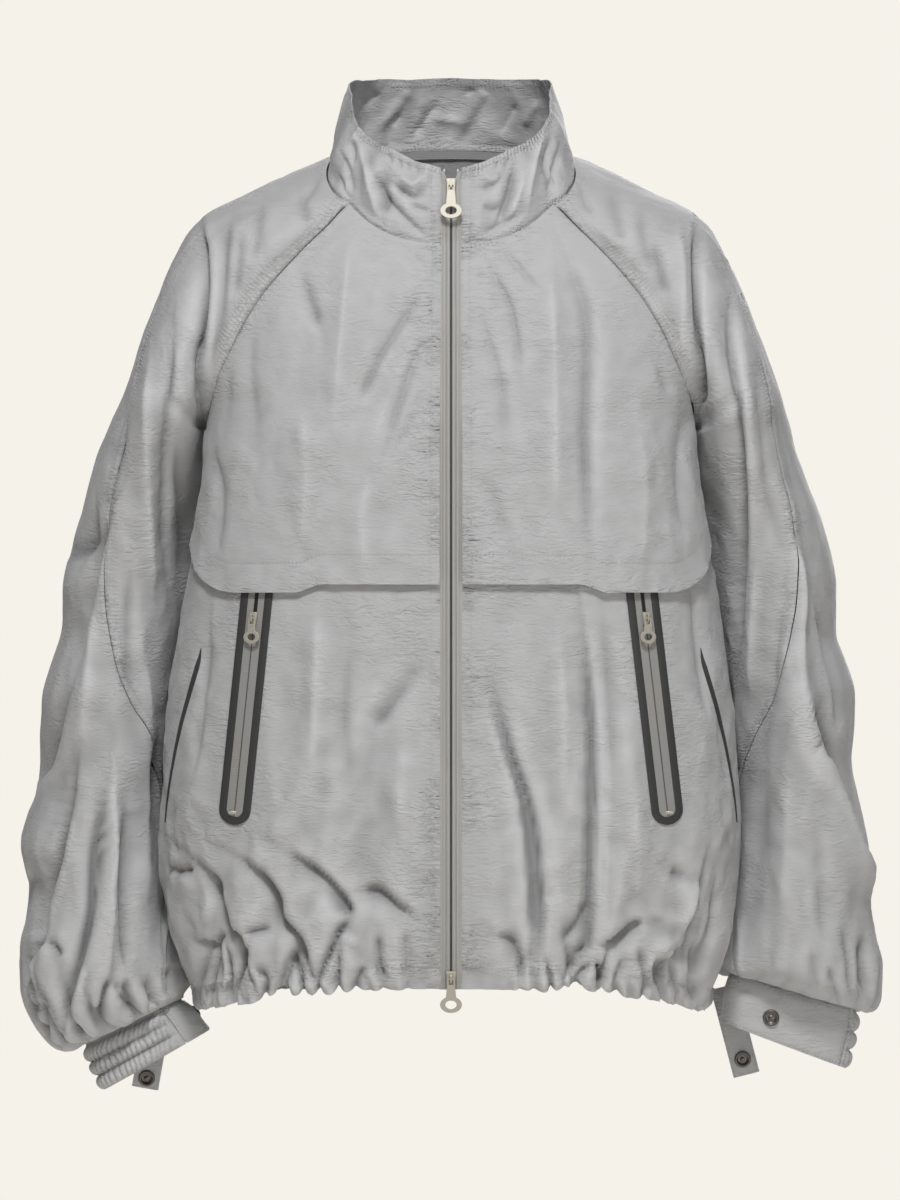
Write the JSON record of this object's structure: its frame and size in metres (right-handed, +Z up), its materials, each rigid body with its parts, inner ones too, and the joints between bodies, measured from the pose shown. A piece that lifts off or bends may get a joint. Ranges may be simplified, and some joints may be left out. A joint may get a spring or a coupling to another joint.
{
  "type": "windbreaker jacket held at the neck and shoulders, as worn and filled out",
  "caption": "Light grey crinkled nylon windbreaker with raglan sleeves, a stand collar, a front yoke cape, a two-way zip and bonded-tape zip pockets, hollow and filled out.",
  "frame": {"origin": "between the shoulders, level with the sides of the neck seam, where the wearer's neck and shoulders hold the jacket", "axes": "+Z up, -Y the way the front faces, +X towards the wearer's left"},
  "size_m": [0.7125, 0.3084, 0.8371],
  "materials": {
    "crinkled_nylon": "matt woven nylon with a fine permanent crinkle",
    "zip_tape": "woven polyester tape",
    "bonded_tape": "smooth bonded tape",
    "nickel": "satin nickel plate",
    "gunmetal": "satin gunmetal plate"
  },
  "bodies": {
    "jacket": {"back": "crinkled_nylon", "collar": "crinkled_nylon", "cuff_band_left": "crinkled_nylon", "cuff_band_right": "crinkled_nylon", "cuff_elastic_left": "crinkled_nylon", "cuff_elastic_right": "crinkled_nylon", "cuff_snap_left": "gunmetal", "cuff_snap_right": "gunmetal", "cuff_strap_left": "crinkled_nylon", "cuff_strap_right": "crinkled_nylon", "front_left": "crinkled_nylon", "front_right": "crinkled_nylon", "front_yoke_left": "crinkled_nylon", "front_yoke_right": "crinkled_nylon", "hem_back": "crinkled_nylon", "hem_front_left": "crinkled_nylon", "hem_front_right": "crinkled_nylon", "neck_tape": "zip_tape", "pocket_slider_left": "nickel", "pocket_slider_right": "nickel", "pocket_tape_left": "bonded_tape", "pocket_tape_right": "bonded_tape", "pocket_zip_left": "zip_tape", "pocket_zip_right": "zip_tape", "side_tape_left": "bonded_tape", "side_tape_right": "bonded_tape", "sleeve_lower_left": "crinkled_nylon", "sleeve_lower_right": "crinkled_nylon", "sleeve_upper_left": "crinkled_nylon", "sleeve_upper_right": "crinkled_nylon", "slider_bottom": "nickel", "slider_top": "nickel", "strap_snap_left": "gunmetal", "strap_snap_right": "gunmetal", "zip_tape_left": "zip_tape", "zip_tape_right": "zip_tape"},
    "pull_top": {"pull_top": "nickel"},
    "pull_bottom": {"pull_bottom": "nickel"},
    "pocket_pull_left": {"pocket_pull_left": "nickel"},
    "pocket_pull_right": {"pocket_pull_right": "nickel"}
  },
  "joints": [
    {"name": "top_pull_swing", "type": "hinge", "parent": "jacket", "child": "pull_top", "pos_m": [0, -0.09649, -0.01486], "axis": [-1, 0, 0], "range_deg": [0, 150]},
    {"name": "bottom_pull_swing", "type": "hinge", "parent": "jacket", "child": "pull_bottom", "pos_m": [0, -0.14836, -0.65551], "axis": [-1, 0, 0], "range_deg": [0, 150]},
    {"name": "right_pocket_pull_swing", "type": "hinge", "parent": "jacket", "child": "pocket_pull_right", "pos_m": [-0.16039, -0.12366, -0.36573], "axis": [-0.8742, 0.4856, 0], "range_deg": [0, 110]},
    {"name": "left_pocket_pull_swing", "type": "hinge", "parent": "jacket", "child": "pocket_pull_left", "pos_m": [0.15834, -0.1248, -0.36573], "axis": [-0.8742, -0.4856, 0], "range_deg": [0, 110]}
  ]
}
